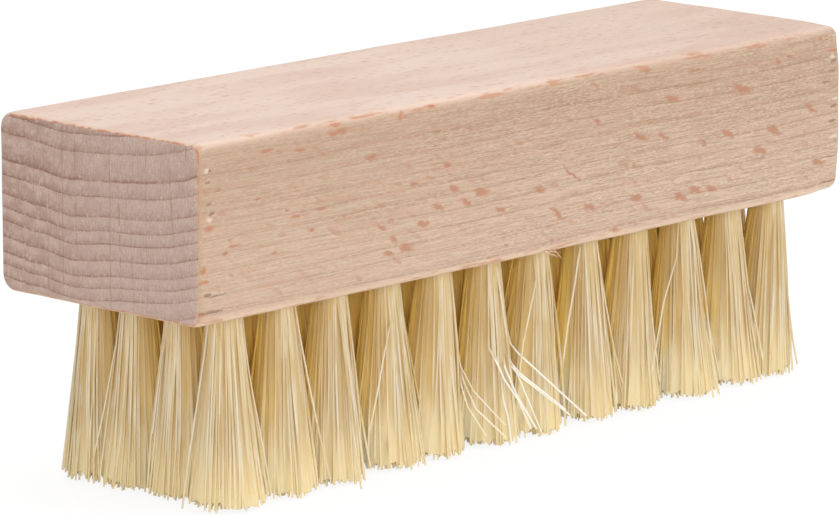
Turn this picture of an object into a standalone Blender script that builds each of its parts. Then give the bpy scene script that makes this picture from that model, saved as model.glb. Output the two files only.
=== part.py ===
"""A small hand cleaning brush: a beech block with four rows of twelve tufts of stiff fibre.

Metres, +Z up. The brush stands on its bristle tips, which are trimmed level. The origin is on the
plane of the tips, under the middle of the block, and +X runs along the block. Each tuft is folded
over a flat metal anchor at the blind end of its hole, and the anchor's ends reach into the wood.
"""

import math

import bmesh
import bpy
from mathutils import Matrix, Vector
from mathutils.geometry import delaunay_2d_cdt

# The handle block, and the rounding of its four long edges and of the edges round its two ends
BLOCK_LENGTH = 0.120
BLOCK_WIDTH = 0.035
BLOCK_THICKNESS = 0.0225
LONG_EDGE_RADIUS = 0.0015
END_EDGE_RADIUS = 0.0009
LONG_EDGE_STEPS = 5
END_EDGE_STEPS = 3

# The drilled grid: rows run along the block, and a margin is from the wood's face to a hole's middle
ROWS = 4
COLUMNS = 12
END_MARGIN = 0.0089
SIDE_MARGIN = 0.0063
GRID_SHIFT_X = 0.0008
GRID_SHIFT_Y = -0.0007

# One blind hole, as a drill leaves it
HOLE_DIAMETER = 0.0046
HOLE_DEPTH = 0.0120
HOLE_SIDES = 12
DRILL_POINT_DEGREES = 118

# The flat metal anchor that holds a folded tuft: its length lies along the block
ANCHOR_LENGTH = 0.0060
ANCHOR_HEIGHT = 0.0020
ANCHOR_THICKNESS = 0.0005

# One tuft: its length is measured from the block's underside to the trimmed tips, and its bundle
# stands out of the hole a little before the fibres part
BRISTLE_LENGTH = 0.0240
BUNDLE_STAND = 0.0015
BUNDLE_SIDES = 8
FOLD_THICKNESS = 0.0011
FOLD_SHOULDER = 0.0010
FOLD_TOP_SHARES = (0.85, 0.40)
STRAND_WIDTH = 0.0008
STRAND_SIDES = 3
WELD_SHARE = 0.001
STRAND_RING_COUNTS = (3, 6)
STRAND_RING_SHARES = (0.45, 1.0)
RIM_WIDTH = 0.0001
TIP_GAP = 0.0006

# What lies between two pieces, and how far a cutter runs past the wood
FIT_CLEARANCE = 0.0003
CUT_OVERRUN = 0.0010

# Worked out from the sizes above
COLUMN_PITCH = (BLOCK_LENGTH - 2 * END_MARGIN) / (COLUMNS - 1)
ROW_PITCH = (BLOCK_WIDTH - 2 * SIDE_MARGIN) / (ROWS - 1)
HOLE_RADIUS = HOLE_DIAMETER / 2
HOLE_FLAT_RADIUS = HOLE_RADIUS * math.cos(math.pi / HOLE_SIDES)
BUNDLE_RADIUS = HOLE_FLAT_RADIUS - FIT_CLEARANCE
BUNDLE_FLAT_RADIUS = BUNDLE_RADIUS * math.cos(math.pi / BUNDLE_SIDES)
BUNDLE_TOP = HOLE_DEPTH - FIT_CLEARANCE
ANCHOR_TOP = BUNDLE_TOP - FOLD_THICKNESS
STRAND_RADIUS = STRAND_WIDTH / 2
ROOT_REACH = BUNDLE_FLAT_RADIUS - STRAND_RADIUS - RIM_WIDTH
TIP_REACH_X = (COLUMN_PITCH - TIP_GAP) / 2 - STRAND_RADIUS
TIP_REACH_Y = (ROW_PITCH - TIP_GAP) / 2 - STRAND_RADIUS

FULL_TURN = 2 * math.pi
GOLDEN_TURN = FULL_TURN * (3 - math.sqrt(5)) / 2
SMOOTH_DEGREES = 35

BEECH_COLOUR = (0.68, 0.49, 0.35, 1.0)
BEECH_ROUGHNESS = 0.62
FIBRE_COLOUR = (0.86, 0.74, 0.44, 1.0)
FIBRE_ROUGHNESS = 0.48


def clear_scene():
    for old in list(bpy.data.objects):
        bpy.data.objects.remove(old, do_unlink=True)


def make_material(name, colour, roughness):
    material = bpy.data.materials.new(name)
    material.use_nodes = True
    shader = material.node_tree.nodes["Principled BSDF"]
    shader.inputs["Base Color"].default_value = colour
    shader.inputs["Roughness"].default_value = roughness
    shader.inputs["Metallic"].default_value = 0.0
    return material


def mesh_from(bm, name):
    """The finished mesh of a bmesh, which is freed."""
    mesh = bpy.data.meshes.new(name)
    bm.to_mesh(mesh)
    bm.free()
    return mesh


def add_object(name, mesh, parent=None, place=(0, 0, 0), material=None):
    made = bpy.data.objects.new(name, mesh)
    bpy.context.scene.collection.objects.link(made)
    made.parent = parent
    made.location = place
    if material:
        mesh.materials.append(material)
    return made


def hide_helper(helper):
    helper.hide_render = True
    helper.display_type = "WIRE"


def turned_body(rings, sides):
    """A closed body through rings of (height, radius along X, radius along Y), lowest first, with
    flat sides facing along X. A ring without a radius is a point."""
    bm = bmesh.new()
    loops = []
    for height, radius_x, radius_y in rings:
        count = sides if radius_x else 1
        angles = [FULL_TURN * (step + 1 / 2) / sides for step in range(count)]
        corners = [(radius_x * math.cos(a), radius_y * math.sin(a), height) for a in angles]
        loops.append([bm.verts.new(corner) for corner in corners])
    for lower, upper in zip(loops, loops[1:]):
        for step in range(sides):
            after = (step + 1) % sides
            if len(upper) == 1:
                bm.faces.new((lower[step], lower[after], upper[0]))
            else:
                bm.faces.new((lower[step], lower[after], upper[after], upper[step]))
    bm.faces.new(reversed(loops[0]))
    if len(loops[-1]) > 1:
        bm.faces.new(loops[-1])
    return bm


def plate(length, thickness, low, high):
    """A flat plate along X, standing on edge from one height to another."""
    bm = bmesh.new()
    bmesh.ops.create_cube(bm, size=1)
    size = Vector((length, thickness, high - low))
    bmesh.ops.scale(bm, vec=size, verts=bm.verts)
    bmesh.ops.translate(bm, vec=(0, 0, (low + high) / 2), verts=bm.verts)
    return bm


def joined_once(name, first, second):
    """The union of two closed bodies, as one mesh."""
    body = add_object(name, mesh_from(first, name))
    other = add_object(name + "_other", mesh_from(second, name + "_other"))
    union = body.modifiers.new("join", "BOOLEAN")
    union.operation = "UNION"
    union.object = other
    bpy.context.view_layer.update()
    graph = bpy.context.evaluated_depsgraph_get()
    mesh = bpy.data.meshes.new_from_object(body.evaluated_get(graph))
    bpy.data.objects.remove(body, do_unlink=True)
    bpy.data.objects.remove(other, do_unlink=True)
    return mesh


def hole_places():
    """(row, column, middle of the hole's mouth) for the whole grid; row 1 is the one nearest -Y."""
    first_x = END_MARGIN - BLOCK_LENGTH / 2 + GRID_SHIFT_X
    first_y = SIDE_MARGIN - BLOCK_WIDTH / 2 + GRID_SHIFT_Y
    for row in range(ROWS):
        for column in range(COLUMNS):
            middle = Vector((first_x + column * COLUMN_PITCH, first_y + row * ROW_PITCH, 0))
            yield row + 1, column + 1, middle


def hole_cutter_mesh():
    """All the holes in one mesh: each is a bore with a drill's point and the room for the anchor."""
    point_angle = math.radians(DRILL_POINT_DEGREES / 2)
    point_height = HOLE_RADIUS / math.tan(point_angle)
    bore = turned_body(
        [
            (-CUT_OVERRUN, HOLE_RADIUS, HOLE_RADIUS),
            (HOLE_DEPTH, HOLE_RADIUS, HOLE_RADIUS),
            (HOLE_DEPTH + point_height, 0, 0),
        ],
        HOLE_SIDES,
    )
    slot = plate(
        ANCHOR_LENGTH + 2 * FIT_CLEARANCE,
        ANCHOR_THICKNESS + 2 * FIT_CLEARANCE,
        ANCHOR_TOP - ANCHOR_HEIGHT - FIT_CLEARANCE,
        ANCHOR_TOP + FIT_CLEARANCE,
    )
    one_hole = joined_once("one_hole", bore, slot)
    cutter = bmesh.new()
    for _, _, middle in hole_places():
        before = len(cutter.verts)
        cutter.from_mesh(one_hole)
        cutter.verts.ensure_lookup_table()
        bmesh.ops.translate(cutter, vec=middle, verts=cutter.verts[before:])
    bpy.data.meshes.remove(one_hole)
    return mesh_from(cutter, "hole_cutters")


def rounded_block():
    """The block on its underside, its long edges rounded first and then the edges of its ends."""
    bm = bmesh.new()
    bmesh.ops.create_cube(bm, size=1)
    size = Vector((BLOCK_LENGTH, BLOCK_WIDTH, BLOCK_THICKNESS))
    bmesh.ops.scale(bm, vec=size, verts=bm.verts)
    bmesh.ops.translate(bm, vec=(0, 0, BLOCK_THICKNESS / 2), verts=bm.verts)
    long_edges = [e for e in bm.edges if e.verts[0].co.x * e.verts[1].co.x < 0]
    bmesh.ops.bevel(
        bm,
        geom=long_edges,
        offset=LONG_EDGE_RADIUS,
        segments=LONG_EDGE_STEPS,
        profile=0.5,
        affect="EDGES",
    )
    end_edges = [e for e in bm.edges if e.verts[0].co.x * e.verts[1].co.x > 0]
    bmesh.ops.bevel(
        bm,
        geom=end_edges,
        offset=END_EDGE_RADIUS,
        segments=END_EDGE_STEPS,
        profile=0.5,
        affect="EDGES",
    )
    return bm


def make_handle_block(parent, material):
    mesh = mesh_from(rounded_block(), "handle_block")
    mesh.shade_smooth()
    mesh.set_sharp_from_angle(angle=math.radians(SMOOTH_DEGREES))
    underside = (0, 0, BRISTLE_LENGTH)
    block = add_object("handle_block", mesh, parent, underside, material)
    cutters = add_object("hole_cutters", hole_cutter_mesh(), parent, underside)
    hide_helper(cutters)
    drill = block.modifiers.new("drilled_holes", "BOOLEAN")
    drill.operation = "DIFFERENCE"
    drill.object = cutters
    return block


def folded_bundle_mesh():
    """What every tuft has in its hole: the folded bundle, with its anchor across the fold."""
    top_x, top_y = (share * BUNDLE_RADIUS for share in FOLD_TOP_SHARES)
    bundle = turned_body(
        [
            (-BUNDLE_STAND, BUNDLE_RADIUS, BUNDLE_RADIUS),
            (BUNDLE_TOP - FOLD_SHOULDER, BUNDLE_RADIUS, BUNDLE_RADIUS),
            (BUNDLE_TOP, top_x, top_y),
        ],
        BUNDLE_SIDES,
    )
    anchor = plate(ANCHOR_LENGTH, ANCHOR_THICKNESS, ANCHOR_TOP - ANCHOR_HEIGHT, ANCHOR_TOP)
    return joined_once("folded_bundle", bundle, anchor)


def strand_places(turn):
    """The middle of each strand as shares of the tuft's reach, ring by ring."""
    places = []
    for ring, (count, share) in enumerate(zip(STRAND_RING_COUNTS, STRAND_RING_SHARES)):
        ring_turn = turn + ring * math.pi / STRAND_RING_COUNTS[-1]
        for step in range(count):
            angle = ring_turn + FULL_TURN * step / count
            places.append((angle, Vector((math.cos(angle), math.sin(angle))) * share))
    return places


def strand_corners(middle, angle):
    """The corners of one strand's end, counter-clockwise, one of them pointing away at the angle."""
    angles = [angle + FULL_TURN * step / STRAND_SIDES for step in range(STRAND_SIDES)]
    return [middle + Vector((math.cos(a), math.sin(a))) * STRAND_RADIUS for a in angles]


def tuft_mesh(bundle_mesh, name, turn):
    """The folded bundle with its strands, which fan out evenly and so never cross."""
    bm = bmesh.new()
    bm.from_mesh(bundle_mesh)
    mouth = min(bm.faces, key=lambda face: face.calc_center_median().z)
    rim = list(reversed(mouth.verts))
    bm.faces.remove(mouth)

    flat = [vert.co.xy for vert in rim]
    roots = []
    tips = []
    for angle, place in strand_places(turn):
        roots.append(range(len(flat), len(flat) + STRAND_SIDES))
        flat += strand_corners(place * ROOT_REACH, angle)
        tips.append(strand_corners(Vector((place.x * TIP_REACH_X, place.y * TIP_REACH_Y)), angle))
    rim_edges = [(step, (step + 1) % len(rim)) for step in range(len(rim))]
    corners, _, faces, made_from, _, face_from = delaunay_2d_cdt(
        flat, rim_edges, [list(root) for root in roots], 0, STRAND_WIDTH * WELD_SHARE
    )
    verts = []
    for corner, sources in zip(corners, made_from):
        source = min(sources)
        verts.append(rim[source] if source < len(rim) else bm.verts.new((*corner, -BUNDLE_STAND)))
    for face, sources in zip(faces, face_from):
        ring = [verts[index] for index in face]
        if not sources:
            bm.faces.new(reversed(ring))
            continue
        # This triangle is a strand's root, so the strand's sides and its trimmed tip close it.
        lowered = []
        for index in face:
            corner = roots[sources[0]].index(min(made_from[index]))
            lowered.append(bm.verts.new((*tips[sources[0]][corner], -BRISTLE_LENGTH)))
        for step in range(STRAND_SIDES):
            after = (step + 1) % STRAND_SIDES
            bm.faces.new((ring[after], ring[step], lowered[step], lowered[after]))
        bm.faces.new(reversed(lowered))
    return mesh_from(bm, name)


def make_tufts(parent, material):
    bundle_mesh = folded_bundle_mesh()
    for order, (row, column, middle) in enumerate(hole_places()):
        name = f"tuft_row_{row}_col_{column:02d}"
        mesh = tuft_mesh(bundle_mesh, name, order * GOLDEN_TURN)
        mouth = Matrix.Translation((0, 0, BRISTLE_LENGTH)) @ middle
        add_object(name, mesh, parent, mouth, material)
    bpy.data.meshes.remove(bundle_mesh)


def main():
    clear_scene()
    brush = bpy.data.objects.new("brush", None)
    bpy.context.scene.collection.objects.link(brush)
    make_handle_block(brush, make_material("beech", BEECH_COLOUR, BEECH_ROUGHNESS))
    make_tufts(brush, make_material("plant_fibre", FIBRE_COLOUR, FIBRE_ROUGHNESS))


main()
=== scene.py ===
"""The looks of a small hand cleaning brush: a sanded beech block and 48 tufts of stiff pale fibre.

Metres, +Z up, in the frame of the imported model. The brush stands on its bristle tips at z = 0.
"""

import math

import bmesh
import bpy
import numpy as np
from mathutils import Matrix, Vector


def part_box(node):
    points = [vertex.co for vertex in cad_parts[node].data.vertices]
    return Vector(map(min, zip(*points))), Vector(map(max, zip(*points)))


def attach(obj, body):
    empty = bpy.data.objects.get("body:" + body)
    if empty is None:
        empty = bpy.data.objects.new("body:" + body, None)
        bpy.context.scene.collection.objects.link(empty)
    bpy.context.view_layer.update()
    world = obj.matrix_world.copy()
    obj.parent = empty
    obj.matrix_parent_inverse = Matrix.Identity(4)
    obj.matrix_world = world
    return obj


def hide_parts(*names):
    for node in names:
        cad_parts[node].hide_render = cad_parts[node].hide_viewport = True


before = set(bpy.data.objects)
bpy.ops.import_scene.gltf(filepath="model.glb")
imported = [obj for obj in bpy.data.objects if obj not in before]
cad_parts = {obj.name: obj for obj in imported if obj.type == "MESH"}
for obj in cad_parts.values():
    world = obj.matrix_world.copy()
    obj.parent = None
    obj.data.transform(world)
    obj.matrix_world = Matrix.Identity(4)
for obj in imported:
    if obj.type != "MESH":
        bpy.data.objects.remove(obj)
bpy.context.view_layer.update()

MM = 0.001

# The block, from its CAD solid. The four long edges are sanded unevenly: top and bottom at the front
# and at the back, and the edges round the two ends are sanded least.
WOOD_LOW, WOOD_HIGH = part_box("handle_block")
WOOD_SIZE = WOOD_HIGH - WOOD_LOW
WOOD_MIDDLE = (WOOD_HIGH + WOOD_LOW) / 2
FRONT_TOP_RADIUS = 1.4 * MM
FRONT_BOTTOM_RADIUS = 1.65 * MM
BACK_RADIUS = 2.1 * MM
END_RADIUS = 0.9 * MM
LONG_EDGE_STEPS = 7
END_EDGE_STEPS = 5
WOOD_SMOOTH_ANGLE = math.radians(40)
TOUCHING = 1e-6

# The faces are cut across at this pitch, as far as a margin beside the rounded edges
GRID_PITCH = 1.6 * MM
END_MARGIN, SIDE_MARGIN = 1.1 * MM, 2.3 * MM

# Two corners that are sanded rounder: where they are, how far they are pushed in, and what moves
FAR_CORNERS = (((60, -17.5, 46.5), (-0.40, 0.20, -0.12)), ((60, -17.5, 24), (-0.32, 0.15, 0.30)))
CORNER_PICK = 1.3 * MM
CORNER_REACH = 5.5 * MM

# The waves of the sanded faces and the stronger ones of the edges, which fade out beside the edges. A
# level is the noise's value at which the wood stays where it is.
SANDING_DEPTH = 0.10 * MM
SANDING_SPAN = 14 * MM
SANDING_LEVEL = 0.62
EDGE_WOBBLE_DEPTH = 0.12 * MM
EDGE_WOBBLE_SPAN = 6 * MM
EDGE_WOBBLE_LEVEL = 0.70
EDGE_BAND, EDGE_FADE = 2.4 * MM, 2 * MM

# The drilled grid, as in the CAD: rows run along the block, and row 1 is at the front
ROWS, COLUMNS = 4, 12
FIRST_COLUMN_X, COLUMN_PITCH = -50.3 * MM, 102.2 * MM / 11
FIRST_ROW_Y, ROW_PITCH = -11.9 * MM, 22.4 * MM / 3
# The photograph shows some tufts up to 0.6 mm off the even grid, in the front row along the block and
# in the second and fourth row across it
FRONT_WANDER_X = (0.0, -0.1, -0.45, -0.3, -0.2, -0.45, -0.5, -0.5, -0.1, 0.0, -0.2, -0.6)
ROW_WANDER_Y = (0.0, -0.40, 0.0, -0.45)
HOLE_RADIUS = 2.3 * MM
HOLE_DEPTH = 12 * MM
HOLE_SIDES = 26
HOLE_BREAK = 0.16 * MM
DRILL_POINT_HEIGHT = HOLE_RADIUS / math.tan(math.radians(118 / 2))
DRILL_TIP_SHARE = 0.1
DRILL_REACH_BELOW = 1.0 * MM

# One fibre is folded over the anchor, so it makes two bristles
FIBRE_RADIUS = 0.152 * MM
FIBRE_SIDES = 5
FIBRE_SPACING = 0.318 * MM
FIBRE_RINGS = 14
ROOT_RADIUS = 2.14 * MM
TIP_RADIUS = 4.50 * MM
RIM_FIBRES = 40
ROOT_Z = WOOD_LOW.z + 0.3 * MM
FOLD_BASE_Z = WOOD_LOW.z + 10.7 * MM
FOLD_RISE = 1.5 * MM

# How far a fibre's shading turns to its tuft's, and below MERGED_Z to the whole brush's
OUTWARD_SHADING = 0.70
MERGED_SHADING = 0.95
MERGED_Z = 20 * MM
MERGED_CURVE = 0.7
CORNER_WAY_SHARE = 0.3

# What makes a fibre count as lying among others, for its painted shade: that it faces back into its tuft,
# or is in its core
TURNED_AWAY_FROM, TURNED_AWAY_WEIGHT = 0.05, 1.2
PACKED_WEIGHT = 0.20

# The core inside a tuft. Its tone is below any fibre's, and its tips are ragged like theirs.
CORE_SHARE = 0.955
CORE_SIDES = 40
CORE_RINGS = 6
CORE_TONE = -1.0
CORE_LOW_Z, CORE_HIGH_Z = 0.3 * MM, FOLD_BASE_Z - 2.5 * MM
CORE_RAGGED, CORE_SIDE_RISE, CORE_MIDDLE_RISE = 0.9 * MM, 0.3 * MM, 0.6 * MM

# A flat steel anchor lies across the folds of each tuft
ANCHOR_SIZE = (6.0 * MM, 0.5 * MM, 2.0 * MM)
ANCHOR_MIDDLE_Z = WOOD_LOW.z + 9.6 * MM
ANCHOR_EDGE = 0.12 * MM
ANCHOR_SMOOTH_ANGLE = math.radians(50)

# The camera, fitted to the block's edges in the photograph
CAMERA_AZIMUTH = math.radians(-46.517)
CAMERA_ELEVATION = math.radians(11.583)
CAMERA_ROLL = math.radians(-0.115)
CAMERA_DISTANCE = 764.05 * MM
CAMERA_LENS = 255.65
AIM_RIGHT, AIM_UP = -2.195 * MM, -13.477 * MM


def deselect_all():
    if bpy.context.object and bpy.context.object.mode != "OBJECT":
        bpy.ops.object.mode_set(mode="OBJECT")
    bpy.ops.object.select_all(action="DESELECT")


def take(piece):
    """Makes piece the one selected and active object."""
    deselect_all()
    piece.select_set(True)
    bpy.context.view_layer.objects.active = piece


def settle(piece):
    """Puts a piece's place into its mesh."""
    take(piece)
    bpy.ops.object.transform_apply(location=True, rotation=True, scale=True)


def add_object(name, data):
    """A new object for a mesh, a light or a camera."""
    thing = bpy.data.objects.new(name, data)
    bpy.context.scene.collection.objects.link(thing)
    return thing


def join(pieces):
    """Makes one object of several and returns it."""
    take(pieces[0])
    for piece in pieces:
        piece.select_set(True)
    bpy.ops.object.join()
    return bpy.context.object


def pick(piece, kind, wanted):
    """In edit mode, selects the vertices, edges or faces whose vertices all pass."""
    bpy.ops.mesh.select_mode(type=kind)
    bpy.ops.mesh.select_all(action="DESELECT")
    bm = bmesh.from_edit_mesh(piece.data)
    for part in {"VERT": bm.verts, "EDGE": bm.edges, "FACE": bm.faces}[kind]:
        vertices = [part] if kind == "VERT" else part.verts
        part.select_set(all(wanted(v.co) for v in vertices))
    bmesh.update_edit_mesh(piece.data)


def apply_modifier(piece, kind, name, **settings):
    """Adds a modifier with its settings and applies it."""
    take(piece)
    modifier = piece.modifiers.new(name, kind)
    for key, value in settings.items():
        setattr(modifier, key, value)
    bpy.ops.object.modifier_apply(modifier=modifier.name)


# The finishes and their nodes


class Nodes:
    """A node tree, to which nodes are added one by one."""

    def __init__(self, tree):
        self.tree = tree

    def add(self, kind, values=None, **settings):
        node = self.tree.nodes.new(kind)
        for key, value in settings.items():
            setattr(node, key, value)
        for key, value in (values or {}).items():
            self.feed(node.inputs[key], value)
        return node

    def feed(self, socket, value):
        if isinstance(value, bpy.types.NodeSocket):
            self.tree.links.new(value, socket)
        else:
            socket.default_value = value

    def math(self, operation, a, b=0.0):
        return self.add("ShaderNodeMath", {0: a, 1: b}, operation=operation).outputs[0]

    def times(self, a, *others):
        for b in others:
            a = self.math("MULTIPLY", a, b)
        return a

    def seen(self):
        """1 where the camera or a reflection looks, and 0 for the light that falls on things."""
        rays = self.add("ShaderNodeLightPath").outputs
        return self.math("MAXIMUM", rays["Is Camera Ray"], rays["Is Glossy Ray"])

    def either(self, share, a, b):
        """Shader a, with share of shader b in its place."""
        return self.add("ShaderNodeMixShader", {0: share, 1: a.outputs[0], 2: b.outputs[0]}).outputs[0]


class Finish(Nodes):
    """A material and its nodes."""

    def __init__(self, name):
        self.material = bpy.data.materials.new(name)
        self.material.use_nodes = True
        super().__init__(self.material.node_tree)
        self.shader = self.tree.nodes["Principled BSDF"]

    def shade(self, values):
        for key, value in values.items():
            self.feed(self.shader.inputs[key], value)
        return self.material

    def split(self, place):
        parts = self.add("ShaderNodeSeparateXYZ", {0: place}).outputs
        return parts["X"], parts["Y"], parts["Z"]

    def millimetres(self):
        """Object coordinates in millimetres: the place, and then its x, y and z."""
        place = self.add("ShaderNodeTexCoord").outputs["Object"]
        place = self.add("ShaderNodeVectorMath", {0: place, "Scale": 1 / MM}, operation="SCALE").outputs[0]
        return place, *self.split(place)

    def mark(self, name, output="Fac"):
        return self.add("ShaderNodeAttribute", attribute_name=name).outputs[output]

    def plus(self, a, *others):
        for b in others:
            a = self.math("ADD", a, b)
        return a

    def minus(self, a, b):
        return self.math("SUBTRACT", a, b)

    def flip(self, a):
        return self.minus(1.0, a)

    def sway(self, share, reach):
        """A share from 0 to 1 as a shift to both sides of 0, from end to end as long as reach."""
        return self.times(self.minus(share, 0.5), reach)

    def step(self, value, low, high, smooth=True):
        """0 below low and 1 above high, or the other way round where high is the lower."""
        values = {"Value": value, "From Min": low, "From Max": high}
        kind = "SMOOTHSTEP" if smooth else "LINEAR"
        if low > high:
            values.update({"From Min": high, "From Max": low, "To Min": 1.0, "To Max": 0.0})
        return self.add("ShaderNodeMapRange", values, interpolation_type=kind).outputs["Result"]

    def vector(self, x, y, z):
        return self.add("ShaderNodeCombineXYZ", {"X": x, "Y": y, "Z": z}).outputs[0]

    def stretch(self, values, lengths):
        """A place for a pattern that is stretched to another length along each value."""
        return self.vector(*(self.times(value, 1 / length) for value, length in zip(values, lengths)))

    def noise(self, vector, scale=1.0, detail=2.0, roughness=0.5):
        values = {"Vector": vector, "Scale": scale, "Detail": detail, "Roughness": roughness}
        return self.add("ShaderNodeTexNoise", values).outputs["Fac"]

    def waves(self, values, lengths, **more):
        """Noise that is stretched to another length along each value."""
        return self.noise(self.stretch(values, lengths), **more)

    def cells(self, vector, dimensions="3D"):
        """Scattered cells: how far the nearest one's middle is, and each cell's random numbers."""
        node = self.add("ShaderNodeTexVoronoi", {"Vector": vector, "Scale": 1.0},
                        feature="F1", voronoi_dimensions=dimensions)
        odds = self.add("ShaderNodeSeparateColor", {0: node.outputs["Color"]}).outputs
        return node.outputs["Distance"], odds

    def mix(self, share, a, b):
        node = self.add("ShaderNodeMix", data_type="RGBA", blend_type="MIX")
        node.clamp_factor = True
        for socket, value in zip((node.inputs[0], node.inputs[6], node.inputs[7]), (share, a, b)):
            self.feed(socket, value)
        return node.outputs[2]

    def coats(self, tone, *coats):
        """Colours laid over a tone one after the other. Each coat is its share and its colour."""
        for share, over in coats:
            tone = self.mix(share, tone, over)
        return tone

    def bump(self, height, strength):
        """A surface relief. The height is in millimetres."""
        values = {"Height": height, "Strength": strength, "Distance": MM}
        return self.add("ShaderNodeBump", values).outputs[0]

    def nearest(self, place, spots):
        """How far it is to the nearest of a few spots, as a share of that spot's half size."""
        far = 10.0
        for x, z, length, height in spots:
            values = {0: place, 1: (1 / length, 0, 1 / height), 2: (-x / length, 0, -z / height)}
            turned = self.add("ShaderNodeVectorMath", values, operation="MULTIPLY_ADD").outputs[0]
            reach = self.add("ShaderNodeVectorMath", {0: turned}, operation="LENGTH").outputs["Value"]
            far = self.math("MINIMUM", far, reach)
        return far

    def curve(self, value, points):
        """A line through points, each from 0 to 1 on both sides."""
        node = self.add("ShaderNodeFloatCurve", {"Value": value})
        line = node.mapping.curves[0]
        while len(line.points) < len(points):
            line.points.new(0.5, 0.5)
        for point, (x, y) in zip(line.points, points):
            point.location = (x, y)
            point.handle_type = "VECTOR"
        node.mapping.update()
        return node.outputs[0]


def colour(r, g, b):
    return (r, g, b, 1.0)


# Beech, in millimetres of Object coordinates. The rings lie round a pith line above the top face, and
# a turn round it is measured as a length at a middle radius.
PITH_Y, PITH_Z = 4.6, 128.5
RING_TURN_RADIUS = 95.0
RING_RADII = (81.0, 83.2, 85.4, 88.9, 90.8, 93.3, 95.0, 96.6, 98.6, 100.5, 101.9, 103.4, 105.6, 108.0)

BEECH_SIDE = colour(0.430, 0.285, 0.194)
BEECH_PALE = colour(0.660, 0.480, 0.352)
BEECH_CHALK = colour(0.780, 0.640, 0.520)
BEECH_RING = colour(0.340, 0.175, 0.100)
BEECH_FLECK = colour(0.460, 0.190, 0.095)
BEECH_PINK = colour(0.600, 0.375, 0.280)
BEECH_ROSE = colour(0.570, 0.330, 0.215)
# The top face's painted reflection of the pale backdrop
BEECH_TOP_SHEEN = colour(0.840, 0.655, 0.570)
END_GRAIN = colour(0.410, 0.280, 0.228)
END_GRAIN_PALE = colour(0.570, 0.415, 0.345)
END_GRAIN_BROWN = colour(0.330, 0.190, 0.125)
END_GRAIN_CHALK = colour(0.760, 0.630, 0.560)
END_GRAIN_RING = colour(0.235, 0.108, 0.068)
EDGE_HIGHLIGHT_PEACH = colour(0.740, 0.540, 0.385)
EDGE_FLOOR_LIGHT_CREAM = colour(0.880, 0.690, 0.520)
EDGE_OCHRE = colour(0.500, 0.330, 0.190)
EDGE_BURN = colour(0.520, 0.180, 0.070)
PIT_BROWN = colour(0.200, 0.095, 0.045)

# Marks on the front that the photograph shows: x and z of the middle, half the length and the height.
# Near the left end the flecks lie along the grain, and further right they slant. A slanted fleck is
# taller by a share that differs left and right of the block's middle.
FLECK_SLANT = 1.3
LEFT_FLECK_SHARE, RIGHT_FLECK_SHARE = 1.2, 1.7
LEVEL_FLECKS = (
    (-54.0, 33.5, 0.8, 0.25), (-55.4, 32.8, 0.5, 0.2), (-47.3, 31.5, 0.5, 0.15), (-43.5, 35.5, 0.8, 0.22),
    (-44.9, 36.5, 0.4, 0.18), (-50.1, 38.6, 0.6, 0.15), (-48.4, 44.3, 1.0, 0.2), (-42.7, 43.6, 1.0, 0.25),
    (-40.8, 33.5, 0.6, 0.2), (-39.3, 35.8, 1.1, 0.22), (-56.5, 40.6, 0.4, 0.15), (-36.1, 44.9, 1.9, 0.35),
    (-30.4, 41.0, 0.9, 0.28), (-8.9, 25.2, 0.8, 0.15), (-0.4, 25.0, 0.8, 0.12), (20.5, 45.3, 1.2, 0.25),
    (30.0, 44.1, 1.0, 0.2),
)
SLANTED_FLECKS = (
    (-28.5, 31.9, 0.7, 0.35), (-27.4, 28.6, 0.8, 0.25), (-26.3, 30.2, 0.7, 0.3), (-24.2, 28.8, 1.0, 0.4),
    (-21.1, 31.4, 0.9, 0.35), (-22.7, 36.6, 0.5, 0.2), (-18.4, 33.1, 0.8, 0.35), (-16.9, 38.1, 0.6, 0.25),
    (-15.5, 35.0, 0.9, 0.35), (-13.3, 32.9, 0.6, 0.45), (-10.6, 33.9, 1.2, 0.45), (-7.1, 31.1, 0.8, 0.3),
    (-6.0, 26.4, 0.4, 0.15), (0.4, 32.6, 0.7, 0.3), (3.8, 29.0, 0.5, 0.6), (6.4, 33.8, 0.4, 0.7),
    (9.8, 29.0, 0.9, 0.3), (11.2, 39.9, 0.6, 0.2), (14.8, 25.3, 0.9, 0.2), (18.7, 28.9, 1.0, 0.3),
    (19.5, 36.8, 0.8, 0.4), (24.1, 36.3, 0.5, 0.35), (25.7, 41.0, 0.9, 0.35), (27.5, 27.8, 0.8, 0.4),
    (30.2, 28.4, 0.9, 0.35), (33.3, 28.1, 0.8, 0.3), (32.0, 34.3, 0.5, 0.25), (36.8, 34.9, 0.8, 0.4),
    (39.5, 40.5, 1.2, 0.45), (43.3, 31.7, 1.1, 0.35), (46.1, 34.1, 0.9, 0.45), (46.8, 43.3, 0.5, 0.25),
    (49.3, 43.5, 0.5, 0.2), (53.6, 36.1, 0.6, 0.45), (55.2, 28.6, 0.9, 0.3),
)
PITS = (
    (-57.9, 43.2, 0.28, 0.2), (-58.3, 41.8, 0.3, 0.18), (-58.3, 39.1, 0.3, 0.12), (-57.8, 37.9, 0.32, 0.22),
    (-58.5, 28.1, 0.8, 0.22), (-57.0, 27.8, 1.6, 0.1), (-57.8, 25.9, 2.2, 0.2), (56.8, 39.2, 1.3, 0.12),
    (58.4, 35.8, 0.9, 0.2), (58.0, 33.8, 0.8, 0.22), (57.3, 29.1, 1.8, 0.12), (57.2, 25.7, 1.8, 0.1),
    (58.3, 41.9, 0.6, 0.25), (57.9, 40.5, 0.7, 0.15), (41.1, 37.9, 0.14, 0.1), (19.2, 30.4, 0.14, 0.1),
)
CHALK_SPOTS = ((-58.5, 43.2, 0.4, 0.35), (-58.2, 37.2, 0.5, 0.35), (58.2, 42.5, 0.7, 0.3),
               (58.4, 31.6, 0.9, 0.3), (58.6, 36.7, 0.7, 0.25))
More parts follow.
